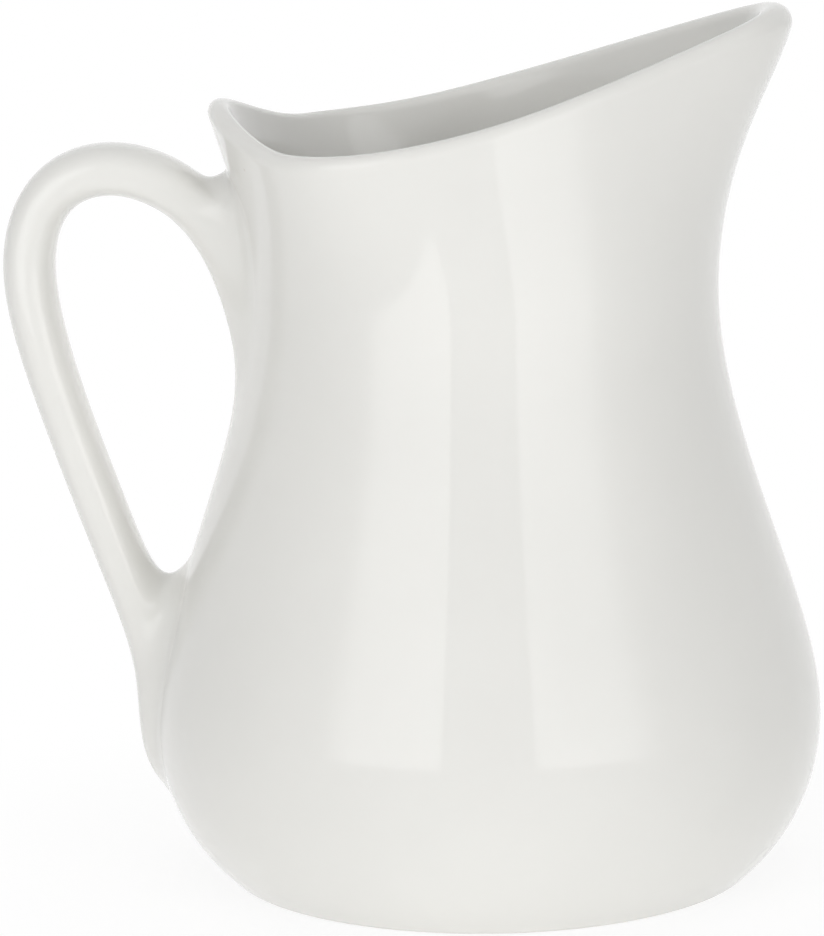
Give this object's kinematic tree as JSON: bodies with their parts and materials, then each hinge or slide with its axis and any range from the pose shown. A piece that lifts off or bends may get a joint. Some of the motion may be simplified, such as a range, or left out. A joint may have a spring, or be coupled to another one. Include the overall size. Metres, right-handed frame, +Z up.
{
  "type": "ceramic pitcher",
  "caption": "White glazed porcelain pitcher with a round belly, drawn-in waist, rising rim with a broad pouring spout, and a looped strap handle at the back.",
  "frame": {"origin": "on the table, under the middle of the overall length and width", "axes": "+Z up, +X towards the spout, the handle at -X; the mirror plane is Y = 0"},
  "size_m": [0.1594, 0.1318, 0.1703],
  "materials": {
    "white_glaze": "high gloss clear glaze on white porcelain; the ground foot ring is bare and matt",
    "fired_slip": "porcelain slip fired under the same clear glaze"
  },
  "bodies": {
    "root": {"body": "white_glaze", "handle": "white_glaze", "upper_joint_slip": "fired_slip", "lower_joint_slip": "fired_slip"}
  },
  "joints": []
}
